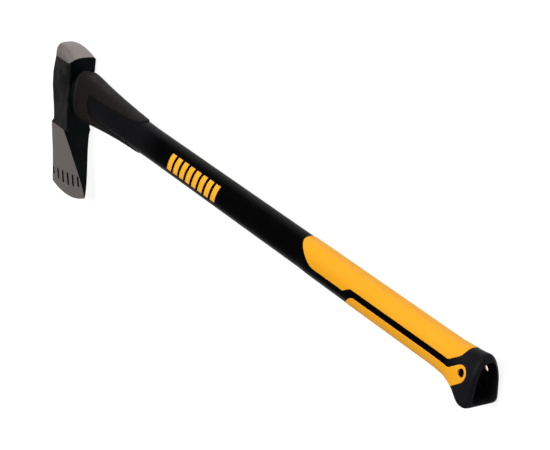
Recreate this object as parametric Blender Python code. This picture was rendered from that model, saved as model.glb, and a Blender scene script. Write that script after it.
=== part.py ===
"""Splitting maul: a forged wedge head bonded to a long composite handle with a moulded grip.

The model is laid out in handle coordinates, in metres: X runs along the handle's axis from the
head's outer face (0) to the hollow butt, +Y points to the poll (the hammer side), -Y to the
cutting edge, and Z is the thickness of the head. One empty carries every piece, and moves the
whole so that the tool lies on its side with the centre of its footprint at the world origin.
"""

import math

import bmesh
import bpy
from mathutils import Matrix, Vector

MM = 0.001
GAP = 0.3 * MM                   # clearance between touching pieces
SEGMENTS = 44                    # points round a handle section
SQUARENESS = 0.85                # 1 is an ellipse, smaller is squarer
BELLY_EGG = 0.6                  # how much of the top's narrowing the belly gains in width

# Overall sizes
LENGTH = 918.5 * MM              # outer face of the head to the crown of the butt
CHEEK = 20.5 * MM                # half thickness of the head
POLL_APEX = 59.4 * MM            # highest point of the crowned poll above the axis
POLL_BASE = 41.8 * MM            # where the ground poll meets the painted cheeks
POLL_FALL = 165 * MM             # diameter of the arc by which the poll falls to its inner end
POLL_PEAK = 4 * MM               # x of the crown's highest point
POLL_TURN = 0.55                 # how the crown turns down at its rim, 0.5 is round
POLL_FULLNESS = ((4.6, 2.0), (2.2, 5.0))   # outer and inner end: above, then below, the axis
HEAD_WIDTH = 43 * MM             # outer face to inner face at the poll
TOE_CHAMFER = 3.0                # chamfer of the outer corners of the head, in mm
EDGE_TOE = Vector((-16.5 * MM, -153.5 * MM))
EDGE_HEEL = Vector((77 * MM, -143.8 * MM))
EDGE_SAGITTA = 9.3 * MM          # belly of the cutting edge beyond its chord
EDGE_HALF = 0.4 * MM             # half thickness left at the cutting edge

# Eye, core and bond
EYE_HALF = (18.5 * MM, 13.6 * MM)
CORE_HALF = (13.0 * MM, 9.0 * MM)
OVERLAY_THICKNESS = 1.3 * MM
EYE_PLUG_DEPTH = 6 * MM
EYE_PLUG_PROUD = 1.5 * MM        # how far its face stands out of the head
LUG_HALF = (27.0 * MM, 16.0 * MM)
LUG_ROOT = 35 * MM               # the lug is rooted inside the head
LUG_END = 48.5 * MM              # inner end of the raised lug round the eye
SEAL_HALF = (34.0 * MM, 16.2 * MM)
SEAL_END = 56.2 * MM
EYE_CUT = (-20 * MM, 80 * MM)    # both ends of the tool that opens the eye
BORE_CUT = (40 * MM, 890 * MM)   # and of the one that bores the jacket
CORE_END = 862 * MM
END_PLUG_END = 867.5 * MM
KNOB_START = 868 * MM
CAVITY_START = 876 * MM
CAVITY_END = 920 * MM            # beyond the rim, so that the butt is open

# Lanyard hole through both walls of the butt
LANYARD_X = 897.3 * MM
LANYARD_Y = 1.1 * MM
LANYARD_RADIUS = 4.8 * MM

# Collar and grip
COLLAR_START = 56.5 * MM
COLLAR_END = 217 * MM
GRIP_START = 240 * MM            # where the tapered boss becomes the even shaft
GRIP_DEPTH = 2.2 * MM            # thickness of the yellow overmould
POCKET_PROUD = 2 * MM            # how far a pocket's tool stands out of the skin
SIDE_REACH = 40 * MM             # half width of the tools that trim to a side outline
OUTLINE_MARGIN = 2               # length of skin kept beyond an outline, in mm

# Outer skin of the handle, one row a station: x, top, bottom and half width in mm, then how much
# narrower the top is than the middle, and the squareness of the upper and lower halves
COLLAR_SKIN = (
    (56.5, 31.5, -32.0, 13.6, -0.10, 0.60, 0.85),
    (58.5, 34.0, -34.6, 15.6, -0.10, 0.60, 0.85),
    (62.5, 35.3, -36.0, 16.9, -0.08, 0.60, 0.85),
    (73, 34.6, -34.4, 17.4, -0.06, 0.62, 0.85),
    (100, 31.6, -31.2, 17.4, -0.03, 0.68, 0.85),
    (140, 27.9, -27.0, 17.2, 0.0, 0.75, 0.85),
    (180, 25.0, -24.1, 17.0, 0.0, 0.80, 0.85),
    (214, 23.1, -22.9, 16.9, 0.0, 0.85, 0.85),
    (217, 22.1, -22.0, 16.2, 0.0, 0.85, 0.85),
)
BOSS_SKIN = (
    (56.5, 26.0, -25.0, 12.4, 0.0, 0.75, 0.85),
    (62, 27.5, -26.5, 15.2, 0.0, 0.75, 0.85),
    (100, 26.0, -24.5, 16.1, 0.0, 0.75, 0.85),
    (140, 24.0, -23.5, 16.1, 0.0, 0.80, 0.85),
    (180, 22.4, -22.0, 15.9, 0.0, 0.85, 0.85),
    (240, 20.8, -20.8, 15.4, 0.0, 0.85, 0.85),
)
GRIP_SKIN = (
    (240, 20.8, -20.8, 15.4, 0.0, 0.85, 0.85),
    (586, 20.8, -20.8, 15.4, 0.0, 0.85, 0.85),
    (612, 20.9, -21.2, 16.4, 0.0, 0.85, 0.85),
    (700, 20.8, -21.4, 16.8, 0.01, 0.85, 0.85),
    (840, 20.8, -21.6, 17.0, 0.02, 0.85, 0.85),
    (862, 21.1, -22.2, 17.5, 0.07, 0.85, 0.78),
    (874, 21.9, -22.8, 18.2, 0.13, 0.85, 0.60),
    (882, 22.6, -23.2, 18.8, 0.18, 0.83, 0.42),
    (888, 23.3, -25.2, 19.2, 0.22, 0.82, 0.32),
    (894, 24.1, -28.6, 19.5, 0.27, 0.80, 0.26),
    (900, 25.0, -32.0, 19.8, 0.31, 0.80, 0.22),
    (906, 26.0, -33.2, 20.0, 0.34, 0.80, 0.20),
    (911.5, 26.9, -32.8, 20.1, 0.35, 0.80, 0.20),
    (915, 25.6, -31.2, 18.7, 0.35, 0.80, 0.22),
    (918.5, 20.6, -28.0, 14.6, 0.35, 0.80, 0.28),
)
CAVITY_SKIN = (
    (876, 15.0, -17.8, 12.0, 0.22, 0.80, 0.60),
    (886, 16.8, -20.6, 14.0, 0.24, 0.76, 0.45),
    (897, 17.6, -25.4, 14.9, 0.26, 0.72, 0.36),
    (907, 18.2, -26.2, 14.6, 0.27, 0.70, 0.34),
    (914, 18.6, -26.6, 13.8, 0.28, 0.68, 0.32),
    (920, 19.4, -27.2, 13.6, 0.28, 0.68, 0.32),
)

# Side outlines of the yellow pieces and of the collar's window: x, y in mm
SADDLE_OUTLINE = (
    (591, 40), (592.5, 21), (597, 16.5), (603, 11), (610, 4.5), (617, -0.5), (625, -3),
    (686, -3), (692, 1), (698, 4.5), (873.5, 4.9), (881, 10.3), (886.5, 14), (889.3, 17.5),
    (890, 21), (890, 40),
)
BELLY_OUTLINE = (
    (684, -45), (688, -17), (696, -8), (704, -3.3), (876.5, -2.6), (884, 2.8), (890, 7.3),
    (895, 9.4), (900, 8.6), (903.6, 5.2), (905.4, 0), (904.6, -4.6), (901.5, -8.5),
    (894, -13.8), (886, -20), (881, -45),
)
WINDOW_OUTLINE = (
    (92, -9), (93.5, -13.5), (98, -16), (150, -17.5), (190, -18), (203, -19.4), (211, -20.8),
    (215, -21.6), (216.6, -23), (250, -26), (250, 26), (216.6, 23), (215, 21.7), (211, 21),
    (203, 19.8), (190, 18.6), (150, 17.8), (100, 17.2), (94.5, 15.2), (92, 11),
)

# Head outline: y, outer x, inner x, half thickness, corner chamfer along x, along z, in mm
HEAD_BODY = (
    (41.5, 0.0, 43.0, 20.5, 3.5, 3.5),
    (30, -2.4, 43.0, 20.5, 4.0, 4.0),
    (16, -4.6, 43.0, 20.5, 4.2, 4.2),
    (0, -3.6, 43.2, 20.5, 4.4, 4.4),
    (-18, 0.0, 44.0, 20.2, 4.8, 4.6),
    (-34, 2.2, 45.2, 19.2, 5.4, 4.6),
    (-48, 2.4, 46.6, 18.0, 6.4, 4.4),
    (-51.5, 1.6, 47.2, 18.2, 7.5, 4.2),
    (-55, 0.0, 48.0, 19.6, 11.0, 4.1),
)
# Bit: share of the way to the edge, outer x, inner x, heel chamfer along x, along z, in mm
HEAD_BIT = (
    (0.10, -2.6, 50.6, 7.4, 3.6),
    (0.25, -5.6, 54.8, 4.6, 2.8),
    (0.45, -8.6, 62.2, 2.8, 2.0),
    (0.65, -11.4, 69.4, 1.6, 1.0),
    (0.80, -13.6, 73.6, 0.8, 0.5),
    (0.92, -15.6, 76.0, 0.4, 0.2),
    (1.00, -16.5, 77.0, 0.2, 0.1),
)
BIT_TOP = -55.0                  # y where the ground bit begins, in mm
BIT_HALF = 19.2                  # half thickness there beyond the edge's own, in mm
BIT_HOLLOW = 0.25                # how far the cheeks of the wedge are hollowed
CHEEK_POINTS = 11                # points along each cheek of a head section
FACE_SHARES = (0.15, 0.45, 0.75, 1.0)   # points across half of its outer and inner faces

# Six slots in each cheek of the bit: pitch and first centre along x, in mm
SLOT_COUNT = 6
SLOT_FIRST = -10.0
SLOT_PITCH = 14.6
SLOT_WIDTH = 4.8
SLOT_DEPTH = 1.1
SLOT_LOW = (14.0, 0.8)           # lower end above the edge: first slot, and more for each next
SLOT_HIGH = (-128.5, 2.5)        # y of the upper end: first slot, and the rise for each next
SLOT_TOOL = 10 * MM              # thickness of the tool that sinks a slot
SLOPE_STEP = 0.08                # share of the bit over which a cheek's slope is taken


def clear_scene():
    for item in list(bpy.data.objects):
        bpy.data.objects.remove(item)


def new_collection(name):
    group = bpy.data.collections.new(name)
    bpy.context.scene.collection.children.link(group)
    return group


def new_material(name, colour, roughness, metallic=0.0):
    material = bpy.data.materials.new(name)
    material.use_nodes = True
    shader = material.node_tree.nodes["Principled BSDF"]
    shader.inputs["Base Color"].default_value = (*colour, 1.0)
    shader.inputs["Roughness"].default_value = roughness
    shader.inputs["Metallic"].default_value = metallic
    return material


def make_object(name, bm, group):
    """Turn a bmesh into an object whose faces all point out."""
    bmesh.ops.remove_doubles(bm, verts=bm.verts, dist=0.00001)
    bmesh.ops.recalc_face_normals(bm, faces=bm.faces)
    mesh = bpy.data.meshes.new(name)
    bm.to_mesh(mesh)
    bm.free()
    item = bpy.data.objects.new(name, mesh)
    group.objects.link(item)
    return item


# ---------------------------------------------------------------- sections and lofts

def skin_at(skin, x):
    """A skin's row at x, its top, bottom and half width in metres."""
    for low, high in zip(skin[:-1], skin[1:]):
        if x <= high[0]:
            break
    share = (x - low[0]) / (high[0] - low[0])
    share = min(1.0, max(0.0, share))
    row = [a + (b - a) * share for a, b in zip(low[1:], high[1:])]
    return [value * MM for value in row[:3]] + row[3:]


def section(x, top, bottom, half, egg=0.0, upper=SQUARENESS, lower=SQUARENESS, inset=0.0):
    """Closed ring of a squared oval across the handle at x, its wide end towards the belly."""
    centre = (top + bottom) / 2
    reach = (top - bottom) / 2 - inset
    ring = []
    for step in range(SEGMENTS):
        angle = 2 * math.pi * step / SEGMENTS
        sine = math.sin(angle)
        cosine = math.cos(angle)
        power = upper if sine > 0 else lower
        taper = egg if sine > 0 else egg * BELLY_EGG
        rise = math.copysign(abs(sine) ** power, sine)
        spread = math.copysign(abs(cosine) ** power, cosine)
        width = (half * (1 - taper * rise) - inset) * spread
        ring.append(Vector((x, centre + reach * rise, width)))
    return ring


def skin_rings(skin, start, end, inset=0.0):
    """Rings of a skin between two stations given in mm, its own stations included."""
    stations = [start] + [row[0] for row in skin if start < row[0] < end] + [end]
    return [section(x * MM, *skin_at(skin, x), inset=inset) for x in stations]


def oval_rings(start, end, half, inset=0.0):
    """Two plain rings of a constant section, half = (along Y, along Z)."""
    return [section(x, half[0], -half[0], half[1], inset=inset) for x in (start, end)]


def add_rings(bm, rings):
    rows = [[bm.verts.new(point) for point in ring] for ring in rings]
    for low, high in zip(rows[:-1], rows[1:]):
        for i in range(len(low)):
            j = (i + 1) % len(low)
            bm.faces.new((low[i], low[j], high[j], high[i]))
    return rows


def add_strip_cap(bm, row, ends):
    """Close a ring with quads between its halves, and one polygon round each straight end."""
    last = len(row) - 1
    half = len(row) // 2
    bm.faces.new(row[:ends + 1] + row[last - ends:])
    for i in range(ends, half - 1 - ends):
        bm.faces.new((row[i], row[i + 1], row[last - i - 1], row[last - i]))
    bm.faces.new(row[half - 1 - ends:half + 1 + ends])


def solid_loft(name, rings, group, strip_ends=0):
    """Closed solid through the rings, with a flat cap or a strip of quads at each end."""
    bm = bmesh.new()
    rows = add_rings(bm, rings)
    for row in (rows[0], rows[-1]):
        if strip_ends:
            add_strip_cap(bm, row, strip_ends)
        else:
            bm.faces.new(row)
    return make_object(name, bm, group)


def tube_loft(name, outer, inner, group):
    """Closed tube: outer rings, inner rings, and a flat annulus at each end."""
    bm = bmesh.new()
    outside = add_rings(bm, outer)
    inside = add_rings(bm, inner)
    for left, right in ((outside[0], inside[0]), (outside[-1], inside[-1])):
        for i in range(len(left)):
            j = (i + 1) % len(left)
            bm.faces.new((left[i], left[j], right[j], right[i]))
    return make_object(name, bm, group)


def prism(name, outline, depth, group):
    """Side outline in mm, extruded to both sides of the handle."""
    bm = bmesh.new()
    low = [bm.verts.new((x * MM, y * MM, -depth)) for x, y in outline]
    high = [bm.verts.new((x * MM, y * MM, depth)) for x, y in outline]
    bm.faces.new(low)
    bm.faces.new(list(reversed(high)))
    for i in range(len(low)):
        j = (i + 1) % len(low)
        bm.faces.new((low[i], low[j], high[j], high[i]))
    return make_object(name, bm, group)


def grow(outline, distance):
    """Move each side of a closed outline out by a distance in mm (in, if negative)."""
    points = [Vector(point) for point in outline]
    area = sum(a.x * b.y - b.x * a.y for a, b in zip(points, points[1:] + points[:1]))
    turn = 1 if area > 0 else -1
    grown = []
    for before, here, after in zip(points[-1:] + points[:-1], points, points[1:] + points[:1]):
        first = (here - before).normalized()
        second = (after - here).normalized()
        normal_a = Vector((first.y, -first.x)) * turn
        normal_b = Vector((second.y, -second.x)) * turn
        mitre = (normal_a + normal_b).normalized()
        grown.append(here + mitre * distance / max(0.5, mitre.dot(normal_a)))
    return [(point.x, point.y) for point in grown]


def cut(item, cutter, operation="DIFFERENCE"):
    """Apply an exact Boolean and keep the cutter in its own collection, hidden from renders."""
    cutter.hide_render = True
    cutter.display_type = "WIRE"
    modifier = item.modifiers.new(f"{operation.lower()}_{cutter.name}", "BOOLEAN")
    modifier.operation = operation
    modifier.solver = "EXACT"
    modifier.object = cutter


def shade(item, angle=35):
    item.data.shade_smooth()
    item.data.set_sharp_from_angle(angle=math.radians(angle))


# ---------------------------------------------------------------- head

def edge_y(x):
    """Height of the cutting edge at x: a circular arc through toe and heel, in metres."""
    chord = EDGE_HEEL - EDGE_TOE
    middle = (EDGE_HEEL + EDGE_TOE) / 2
    outward = Vector((chord.y, -chord.x)).normalized()
    radius = chord.length ** 2 / (8 * EDGE_SAGITTA) + EDGE_SAGITTA / 2
    centre = middle - outward * (radius - EDGE_SAGITTA)
    return centre.y - math.sqrt(radius ** 2 - (x - centre.x) ** 2)


def bit_half(share):
    """Half thickness of the wedge at a share of the way from its top to the edge, in mm."""
    return BIT_HALF * (1 - share) * (1 - BIT_HOLLOW * share) + EDGE_HALF / MM


def poll_height(x, z):
    """Ground top of the poll: a crown whose square shoulder crosses over from end to end."""
    share = min(1.0, max(0.0, x / HEAD_WIDTH))
    rise = POLL_APEX - (x - POLL_PEAK) ** 2 / POLL_FALL - POLL_BASE
    outer, inner = POLL_FULLNESS[0] if z > 0 else POLL_FULLNESS[1]
    fullness = outer + (inner - outer) * share ** 0.7
    reach = max(0.0, 1 - (abs(z) / CHEEK) ** fullness)
    return POLL_BASE + rise * reach ** POLL_TURN


def head_ring(outer, inner, half, chamfer_x, chamfer_z, height):
    """Ring round the head in mm: the upper half from the outer face, then its mirror image."""
    toe_x = min(chamfer_x, TOE_CHAMFER)
    toe_z = min(chamfer_z, TOE_CHAMFER, half * 0.4)
    heel_z = min(chamfer_z, half * 0.8)
    start = outer + toe_x
    span = inner - chamfer_x - start
    cheek = [start + span * i / (CHEEK_POINTS - 1) for i in range(CHEEK_POINTS)]
    upper = [(outer, share * (half - toe_z)) for share in FACE_SHARES]
    upper += [(x, half) for x in cheek]
    upper += [(inner, share * (half - heel_z)) for share in reversed(FACE_SHARES)]
    ring = upper + [(x, -z) for x, z in reversed(upper)]
    return [Vector((x * MM, height(x * MM, z * MM), z * MM)) for x, z in ring]


def head_rings():
    rings = []
    for y, outer, inner, half, chamfer_x, chamfer_z in reversed(HEAD_BODY):
        rings.append(head_ring(outer, inner, half, chamfer_x, chamfer_z, lambda x, z: y * MM))
    for share, outer, inner, chamfer_x, chamfer_z in HEAD_BIT:
        def height(x, z):
            return BIT_TOP * MM + share * (edge_y(x) - BIT_TOP * MM)
        ring = head_ring(outer, inner, bit_half(share), chamfer_x, chamfer_z, height)
        rings.insert(0, ring)
    y, outer, inner, half, chamfer_x, chamfer_z = HEAD_BODY[0]
    rim = head_ring(outer, inner, half, chamfer_x, chamfer_z, lambda x, z: 0.0)
    middle = Vector(((outer + inner) / 2 * MM, 0.0, 0.0))
    for scale in (1.0, 0.96, 0.9, 0.8, 0.65, 0.45, 0.2):
        ring = [middle + (point - middle) * scale for point in rim]
        rings.append([Vector((p.x, poll_height(p.x, p.z), p.z)) for p in ring])
    return rings


def slot_cutters(group):
    """Twelve blocks, six to a cheek, each sunk square to the sloping cheek."""
    bm = bmesh.new()
    for number in range(SLOT_COUNT):
        x = (SLOT_FIRST + number * SLOT_PITCH) * MM
        far = edge_y(x) + (SLOT_LOW[0] + SLOT_LOW[1] * number) * MM
        near = (SLOT_HIGH[0] + SLOT_HIGH[1] * number) * MM
        length = near - far
        middle_y = (near + far) / 2
        reach = BIT_TOP - edge_y(x) / MM
        share = (BIT_TOP - middle_y / MM) / reach
        fall = bit_half(share - SLOPE_STEP) - bit_half(share + SLOPE_STEP)
        lean = math.atan(fall / (2 * SLOPE_STEP * reach))
        for side in (1, -1):
            height = bit_half(share) * MM - SLOT_DEPTH * MM + SLOT_TOOL / 2
            place = Matrix.Translation((x, middle_y, side * height))
            turn = Matrix.Rotation(side * lean, 4, "X")
            size = Matrix.Diagonal((SLOT_WIDTH * MM, length, SLOT_TOOL, 1.0))
            bmesh.ops.create_cube(bm, size=1.0, matrix=place @ turn @ size)
    return make_object("slot_cutters", bm, group)


def build_head(parts, cutters):
    head = solid_loft("head", head_rings(), parts, strip_ends=len(FACE_SHARES))
    lug = solid_loft("eye_lug", oval_rings(LUG_ROOT, LUG_END, LUG_HALF), cutters)
    eye = solid_loft("eye_cutter", oval_rings(*EYE_CUT, EYE_HALF), cutters)
    cut(head, lug, "UNION")
    cut(head, eye)
    cut(head, slot_cutters(cutters))
    return head


# ---------------------------------------------------------------- core and bond

def build_core(parts):
    overlay_half = tuple(half + GAP + OVERLAY_THICKNESS for half in CORE_HALF)
    overlay_bore = tuple(half + GAP for half in CORE_HALF)
    bond_outer = tuple(half - GAP for half in EYE_HALF)
    bond_bore = tuple(half + GAP for half in overlay_half)
    bond_start = EYE_PLUG_DEPTH + GAP
    core = solid_loft("core_rod", oval_rings(bond_start, CORE_END, CORE_HALF), parts)
    overlay = tube_loft("core_overlay", oval_rings(bond_start, CORE_END, overlay_half),
                        oval_rings(bond_start, CORE_END, overlay_bore), parts)
    bond = tube_loft("eye_epoxy", oval_rings(bond_start, LUG_END, bond_outer),
                     oval_rings(bond_start, LUG_END, bond_bore), parts)
    eye_plug = solid_loft("eye_plug", oval_rings(-EYE_PLUG_PROUD, EYE_PLUG_DEPTH, bond_outer),
                          parts)
    seal = tube_loft("eye_seal", oval_rings(LUG_END + GAP, SEAL_END, SEAL_HALF),
                     oval_rings(LUG_END + GAP, SEAL_END, bond_bore), parts)
    end_plug = solid_loft("core_end_plug", oval_rings(CORE_END + GAP, END_PLUG_END, overlay_half),
                          parts)
    return core, overlay, bond, eye_plug, seal, end_plug, bond_bore


# ---------------------------------------------------------------- handle mouldings

def build_jacket(bore, pockets, parts, cutters):
    start = COLLAR_START / MM
    middle = GRIP_START / MM
    end = (KNOB_START - GAP) / MM
    rings = skin_rings(BOSS_SKIN, start, middle) + skin_rings(GRIP_SKIN, middle, end)[1:]
    jacket = solid_loft("shaft_jacket", rings, parts)
    bore_cutter = solid_loft("jacket_bore", oval_rings(*BORE_CUT, bore), cutters)
    for pocket in pockets:
        cut(jacket, pocket)
    cut(jacket, bore_cutter)
    return jacket


def build_collar(parts, cutters):
    start = COLLAR_START / MM
    end = COLLAR_END / MM
    collar = tube_loft("overstrike_collar", skin_rings(COLLAR_SKIN, start, end),
                       skin_rings(BOSS_SKIN, start, end, inset=-GAP), parts)
    cut(collar, prism("collar_window", WINDOW_OUTLINE, SIDE_REACH, cutters))
    return collar


def yellow_shell(name, outline, group):
    """Piece of the grip's skin, as deep as the overmould, inside a side outline."""
    start = min(x for x, y in outline) - OUTLINE_MARGIN
    end = max(x for x, y in outline) + OUTLINE_MARGIN
    shell = tube_loft(name, skin_rings(GRIP_SKIN, start, end),
                      skin_rings(GRIP_SKIN, start, end, inset=GRIP_DEPTH), group)
    return shell


def pocket_cutter(name, outline, group):
    """Room for a yellow piece: its outline and depth, each a gap larger."""
    start = min(x for x, y in outline) - OUTLINE_MARGIN
    end = max(x for x, y in outline) + OUTLINE_MARGIN
    pocket = tube_loft(name, skin_rings(GRIP_SKIN, start, end, inset=-POCKET_PROUD),
                       skin_rings(GRIP_SKIN, start, end, inset=GRIP_DEPTH + GAP), group)
    cut(pocket, prism(name + "_side", grow(outline, GAP / MM), SIDE_REACH, group), "INTERSECT")
    return pocket


def lanyard_cutter(group):
    bpy.ops.mesh.primitive_cylinder_add(vertices=32, radius=LANYARD_RADIUS, depth=2 * SIDE_REACH)
    cutter = bpy.context.object
    cutter.name = "lanyard_hole"
    cutter.data.transform(Matrix.Translation((LANYARD_X, LANYARD_Y, 0)))
    for owner in list(cutter.users_collection):
        owner.objects.unlink(cutter)
    group.objects.link(cutter)
    return cutter


def build_grip(lanyard, parts, cutters):
    saddle = yellow_shell("grip_saddle", SADDLE_OUTLINE, parts)
    cut(saddle, prism("saddle_side", SADDLE_OUTLINE, SIDE_REACH, cutters), "INTERSECT")
    belly = yellow_shell("grip_belly", BELLY_OUTLINE, parts)
    cut(belly, prism("belly_side", BELLY_OUTLINE, SIDE_REACH, cutters), "INTERSECT")
    cut(belly, lanyard)
    return saddle, belly


def build_knob(pockets, lanyard, parts, cutters):
    end = LENGTH / MM
    knob = solid_loft("butt_knob", skin_rings(GRIP_SKIN, KNOB_START / MM, end), parts)
    hollow = skin_rings(CAVITY_SKIN, CAVITY_START / MM, CAVITY_END / MM)
    cavity = solid_loft("knob_cavity", hollow, cutters)
    cut(knob, cavity)
    for pocket in pockets:
        cut(knob, pocket)
    cut(knob, lanyard)
    return knob


# ---------------------------------------------------------------- assembly

def built_bounds(items):
    """Lowest and highest corners of the finished pieces, their cuts included."""
    graph = bpy.context.evaluated_depsgraph_get()
    points = [vertex.co.copy() for item in items for vertex in item.evaluated_get(graph).data.vertices]
    low = Vector([min(point[axis] for point in points) for axis in range(3)])
    high = Vector([max(point[axis] for point in points) for axis in range(3)])
    return low, high


def main():
    clear_scene()
    parts = new_collection("splitting_maul")
    cutters = new_collection("cutters")

    head = build_head(parts, cutters)
    core, overlay, bond, eye_plug, seal, end_plug, bore = build_core(parts)
    pockets = (pocket_cutter("saddle_pocket", SADDLE_OUTLINE, cutters),
               pocket_cutter("belly_pocket", BELLY_OUTLINE, cutters))
    lanyard = lanyard_cutter(cutters)
    jacket = build_jacket(bore, pockets, parts, cutters)
    collar = build_collar(parts, cutters)
    saddle, belly = build_grip(lanyard, parts, cutters)
    knob = build_knob(pockets, lanyard, parts, cutters)

    looks = (
        (head, (0.33, 0.32, 0.31), 0.42, 0.9),
        (core, (0.72, 0.68, 0.45), 0.5, 0.0),
        (overlay, (0.03, 0.03, 0.032), 0.35, 0.0),
        (bond, (0.42, 0.36, 0.2), 0.4, 0.0),
        (eye_plug, (0.02, 0.02, 0.02), 0.55, 0.0),
        (seal, (0.02, 0.02, 0.02), 0.7, 0.0),
        (end_plug, (0.02, 0.02, 0.02), 0.6, 0.0),
        (jacket, (0.012, 0.012, 0.013), 0.4, 0.0),
        (collar, (0.045, 0.038, 0.035), 0.6, 0.0),
        (saddle, (0.95, 0.45, 0.02), 0.5, 0.0),
        (belly, (0.95, 0.45, 0.02), 0.5, 0.0),
        (knob, (0.014, 0.014, 0.015), 0.55, 0.0),
    )
    frame = bpy.data.objects.new("maul_frame", None)
    parts.objects.link(frame)
    for item, colour, roughness, metallic in looks:
        item.data.materials.append(new_material(item.name, colour, roughness, metallic))
        shade(item)
    for item in list(parts.objects) + list(cutters.objects):
        if item is not frame:
            item.parent = frame
    low, high = built_bounds(item for item, *look in looks)
    frame.location = (-(low.x + high.x) / 2, -(low.y + high.y) / 2, -low.z)


main()
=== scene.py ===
"""Looks of the splitting maul: its final meshes, materials, light and camera.

Shapes are laid out in handle coordinates, in millimetres: X runs along the handle from the head's
outer face (0) to the butt, +Y points to the poll, -Y to the cutting edge, and Z is the thickness
of the head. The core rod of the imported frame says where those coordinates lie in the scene.
"""

import math

import bmesh
import bpy
import numpy as np
from mathutils import Matrix, Vector, kdtree, noise


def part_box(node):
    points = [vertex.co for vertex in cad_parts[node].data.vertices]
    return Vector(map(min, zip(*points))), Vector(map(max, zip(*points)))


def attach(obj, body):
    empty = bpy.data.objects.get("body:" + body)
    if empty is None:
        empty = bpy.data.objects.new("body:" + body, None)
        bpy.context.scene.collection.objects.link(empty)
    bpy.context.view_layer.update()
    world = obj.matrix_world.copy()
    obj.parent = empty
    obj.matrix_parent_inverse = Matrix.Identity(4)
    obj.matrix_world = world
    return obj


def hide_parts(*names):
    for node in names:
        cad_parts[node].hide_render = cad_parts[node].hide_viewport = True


MM = 0.001

# ---------------------------------------------------------------- dimensions kept from the CAD

CORE_START = 6.3                 # x where the core rod begins
CHEEK = 20.5                     # half thickness of the head
HEAD_WIDTH = 43.0
POLL_APEX = 59.4
POLL_BASE = 41.8
POLL_FALL = 165.0
POLL_PEAK = 4.0
POLL_TURN = 0.55
POLL_FULLNESS = ((4.6, 2.0), (2.2, 5.0))
EDGE_TOE = Vector((-16.5, -153.5))
EDGE_HEEL = Vector((77.0, -143.8))
EDGE_SAGITTA = 9.3
EDGE_HALF = 0.4
EYE_HALF = (18.5, 13.6)
EYE_DEPTH = 7.5                  # depth of the eye's mouth round the plug
PLUG_PROUD = 1.5
LUG_HALF = (27.0, 16.0)
LUG_ROOT = 35.0
LUG_END = 48.5
SEAL_HALF = (34.0, 16.2)
SEAL_END = 56.2
COLLAR_START = 56.5
COLLAR_END = 217.0
GRIP_START = 240.0
KNOB_START = 868.0
CAVITY_START = 876.0
LANYARD_X = 897.3
LANYARD_Y = 1.1
LANYARD_RADIUS = 4.8
GAP = 0.3

# Skins of the handle: x, top, bottom, half width, how much narrower the top is than the middle,
# and the squareness of the upper and lower halves
BELLY_EGG = 0.6
COLLAR_SKIN = (
    (56.5, 31.5, -32.0, 13.6, -0.10, 0.60, 0.85),
    (58.5, 34.0, -34.6, 15.6, -0.10, 0.60, 0.85),
    (62.5, 35.3, -36.0, 16.9, -0.08, 0.60, 0.85),
    (73, 34.6, -34.4, 17.4, -0.06, 0.62, 0.85),
    (100, 31.6, -31.2, 17.4, -0.03, 0.68, 0.85),
    (140, 27.9, -27.0, 17.2, 0.0, 0.75, 0.85),
    (180, 25.0, -24.1, 17.0, 0.0, 0.80, 0.85),
    (217, 22.9, -22.7, 16.9, 0.0, 0.85, 0.85),
)
BOSS_SKIN = (
    (56.5, 26.0, -25.0, 12.4, 0.0, 0.75, 0.85),
    (62, 27.5, -26.5, 15.2, 0.0, 0.75, 0.85),
    (100, 26.0, -24.5, 16.1, 0.0, 0.75, 0.85),
    (140, 24.0, -23.5, 16.1, 0.0, 0.80, 0.85),
    (180, 22.4, -22.0, 15.9, 0.0, 0.85, 0.85),
    (240, 20.8, -20.8, 15.4, 0.0, 0.85, 0.85),
)
GRIP_SKIN = (
    (240, 20.8, -20.8, 15.4, 0.0, 0.85, 0.85),
    (586, 20.8, -20.8, 15.4, 0.0, 0.85, 0.85),
    (612, 20.9, -21.2, 16.4, 0.0, 0.85, 0.85),
    (700, 20.8, -21.4, 16.8, 0.01, 0.85, 0.85),
    (840, 20.8, -21.6, 17.0, 0.02, 0.85, 0.85),
    (862, 21.1, -22.2, 17.5, 0.07, 0.85, 0.78),
    (874, 21.9, -22.8, 18.2, 0.13, 0.85, 0.60),
    (882, 22.6, -23.2, 18.8, 0.18, 0.83, 0.42),
    (888, 23.3, -25.2, 19.2, 0.22, 0.82, 0.32),
    (894, 24.1, -28.6, 19.5, 0.27, 0.80, 0.26),
    (900, 25.0, -32.0, 19.8, 0.31, 0.80, 0.22),
    (906, 26.0, -33.2, 20.0, 0.34, 0.80, 0.20),
    (911.5, 26.9, -32.8, 20.1, 0.35, 0.80, 0.20),
    (915, 25.6, -31.2, 18.7, 0.35, 0.80, 0.22),
    (918.5, 20.6, -28.0, 14.6, 0.35, 0.80, 0.28),
)
CAVITY_SKIN = (
    (876, 15.0, -17.8, 12.0, 0.22, 0.80, 0.60),
    (886, 16.8, -20.6, 14.0, 0.24, 0.76, 0.45),
    (897, 17.6, -25.4, 14.9, 0.26, 0.72, 0.36),
    (907, 18.2, -26.2, 14.6, 0.27, 0.70, 0.34),
    (914, 18.6, -26.6, 13.8, 0.28, 0.68, 0.32),
    (920, 19.4, -27.2, 13.6, 0.28, 0.68, 0.32),
)

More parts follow.
